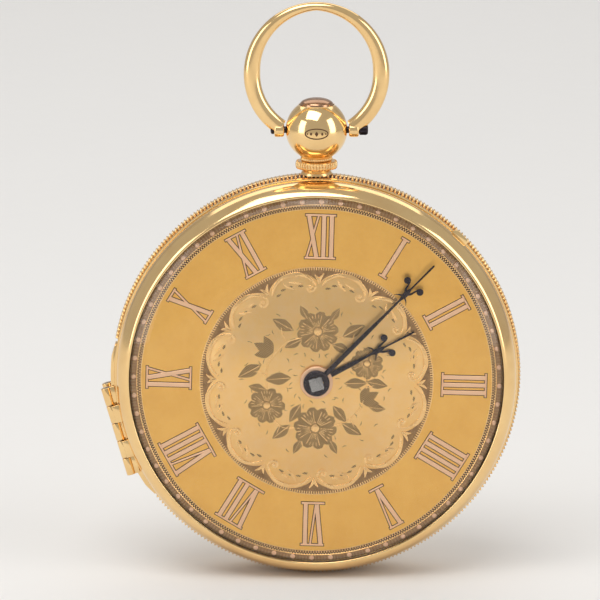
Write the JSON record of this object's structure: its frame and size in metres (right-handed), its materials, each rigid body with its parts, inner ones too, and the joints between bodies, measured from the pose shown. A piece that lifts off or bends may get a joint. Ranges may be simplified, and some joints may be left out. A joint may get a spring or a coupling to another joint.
{
  "type": "open face pocket watch",
  "caption": "Open face key-wound pocket watch in a hinged reeded case, with a gold dial, bow, and full plate movement with a working train.",
  "frame": {"origin": "hand axis at the front of the dial, where the setting square stands", "axes": "+Z runs to 12 o'clock and the bow, +X runs to 3 o'clock, -Y runs out of the dial towards the wearer"},
  "size_m": [0.0473, 0.0138, 0.0652],
  "materials": {
    "gold": "polished 18 carat gold",
    "dial_gold": "frosted gold with bright engraving",
    "dark_track": "matte brown gold",
    "rose_gold": "polished rose gold",
    "gilt_brass": "fire gilt brass, fine grained",
    "blued_steel": "dark blued steel",
    "steel": "polished steel",
    "ruby": "polished ruby",
    "crystal": "clear domed watch glass"
  },
  "bodies": {
    "case": {"case_band": "gold", "pendant_ball": "gold", "pendant_collar": "gold", "bow_screws": "blued_steel", "hinge_pins": "steel", "dial": "dial_gold", "minute_track": "dark_track", "minute_studs": "rose_gold", "hour_numerals": "rose_gold", "dial_medallion": "dial_gold", "dial_flowers": "dial_gold", "pillar_plate": "gilt_brass", "pillars": "gilt_brass", "top_plate": "gilt_brass", "plate_screws": "blued_steel", "dog_screws": "blued_steel", "jewels": "ruby", "potence": "gilt_brass", "balance_cock": "gilt_brass", "regulator": "steel", "hairspring_stud": "steel", "hairspring": "blued_steel", "barrel_arbor": "steel", "setup_ratchet": "steel", "setup_click": "steel", "mainspring": "steel", "fusee_chain": "steel", "push_spring": "steel"},
    "barrel": {"barrel": "gilt_brass"},
    "fusee": {"fusee": "gilt_brass", "great_wheel": "gilt_brass"},
    "centre": {"centre_arbor": "steel", "centre_wheel": "gilt_brass", "cannon_pinion": "steel", "minute_hand": "blued_steel"},
    "minute_wheel": {"minute_wheel": "gilt_brass"},
    "hour": {"hour_wheel": "gilt_brass", "hour_hand": "blued_steel"},
    "third": {"third_wheel": "gilt_brass", "third_arbor": "steel"},
    "fourth": {"fourth_wheel": "gilt_brass", "fourth_arbor": "steel"},
    "escape": {"escape_wheel": "gilt_brass", "escape_arbor": "steel"},
    "lever": {"lever": "steel", "pallet_stones": "ruby"},
    "balance": {"balance_wheel": "gilt_brass", "balance_screws": "gilt_brass", "balance_staff": "steel", "roller": "steel"},
    "bezel": {"bezel": "gold", "crystal": "crystal"},
    "back_cover": {"back_cover": "gold"},
    "cuvette": {"cuvette": "gold"},
    "bow": {"bow": "gold"},
    "push_piece": {"push_piece": "rose_gold"},
    "catch_spring": {"catch_spring": "steel"}
  },
  "joints": [
    {"name": "minute_turn", "type": "hinge", "parent": "case", "child": "centre", "pos_m": [0, 0, 0], "axis": [0, 1, 0], "continuous": true},
    {"name": "hour_turn", "type": "hinge", "parent": "case", "child": "hour", "pos_m": [0, 0, 0], "axis": [0, 1, 0], "continuous": true},
    {"name": "minute_wheel_turn", "type": "hinge", "parent": "case", "child": "minute_wheel", "pos_m": [0.00312, 0, -0.0018], "axis": [0, 1, 0], "continuous": true},
    {"name": "fusee_turn", "type": "hinge", "parent": "case", "child": "fusee", "pos_m": [-0.00757, 0, 0.0053], "axis": [0, 1, 0], "continuous": true},
    {"name": "barrel_turn", "type": "hinge", "parent": "case", "child": "barrel", "pos_m": [-0.00543, 0, -0.0098], "axis": [0, 1, 0], "continuous": true, "deforming": ["mainspring"]},
    {"name": "third_turn", "type": "hinge", "parent": "case", "child": "third", "pos_m": [0.00324, 0, 0.00561], "axis": [0, 1, 0], "continuous": true},
    {"name": "fourth_turn", "type": "hinge", "parent": "case", "child": "fourth", "pos_m": [0.00741, 0, 0.00212], "axis": [0, 1, 0], "continuous": true},
    {"name": "escape_turn", "type": "hinge", "parent": "case", "child": "escape", "pos_m": [0.00828, 0, -0.00285], "axis": [0, 1, 0], "continuous": true},
    {"name": "balance_swing", "type": "hinge", "parent": "case", "child": "balance", "pos_m": [0.00366, 0, -0.00879], "axis": [0, 1, 0], "range_deg": [-135, 135], "stiffness_Nm_per_rad": 0.000001, "deforming": ["hairspring"]},
    {"name": "lever_swing", "type": "hinge", "parent": "case", "child": "lever", "pos_m": [0.00764, 0, -0.00649], "axis": [0, 1, 0], "range_deg": [-5.5, 5.5]},
    {"name": "bezel_open", "type": "hinge", "parent": "case", "child": "bezel", "pos_m": [-0.0223, 0.00255, -0.00639], "axis": [0.2756, 0, -0.9613], "range_deg": [0, 110]},
    {"name": "back_open", "type": "hinge", "parent": "case", "child": "back_cover", "pos_m": [-0.0223, 0.005, -0.00639], "axis": [-0.2756, 0, 0.9613], "range_deg": [0, 110]},
    {"name": "cuvette_open", "type": "hinge", "parent": "case", "child": "cuvette", "pos_m": [-0.0223, 0.005, -0.00639], "axis": [-0.2756, 0, 0.9613], "range_deg": [0, 89]},
    {"name": "bow_swing", "type": "hinge", "parent": "case", "child": "bow", "pos_m": [0, 0.00375, 0.0279], "axis": [1, 0, 0], "range_deg": [-95, 95]},
    {"name": "push_press", "type": "slide", "parent": "case", "child": "push_piece", "axis": [0, 0, -1], "range_m": [0, 0.0005], "stiffness_N_per_m": 300, "springref_m": -0.001, "deforming": ["push_spring"]},
    {"name": "catch_bend", "type": "hinge", "parent": "case", "child": "catch_spring", "pos_m": [0.01169, 0.0044, 0.01733], "axis": [0, -1, 0], "range_deg": [0, 2.6]}
  ],
  "couplings": [
    {"joint": "hour_turn", "follows": "minute_turn", "ratio": 0.083333},
    {"joint": "minute_wheel_turn", "follows": "minute_turn", "ratio": -0.33333},
    {"joint": "fusee_turn", "follows": "minute_turn", "ratio": -0.16667},
    {"joint": "barrel_turn", "follows": "minute_turn", "ratio": -0.13},
    {"joint": "third_turn", "follows": "minute_turn", "ratio": -8},
    {"joint": "fourth_turn", "follows": "minute_turn", "ratio": 60},
    {"joint": "escape_turn", "follows": "minute_turn", "ratio": -480},
    {"joint": "lever_swing", "follows": "balance_swing", "ratio": -0.032},
    {"joint": "cuvette_open", "follows": "back_open", "ratio": 0.8},
    {"joint": "catch_bend", "follows": "push_press", "rad_per_m": 85}
  ]
}
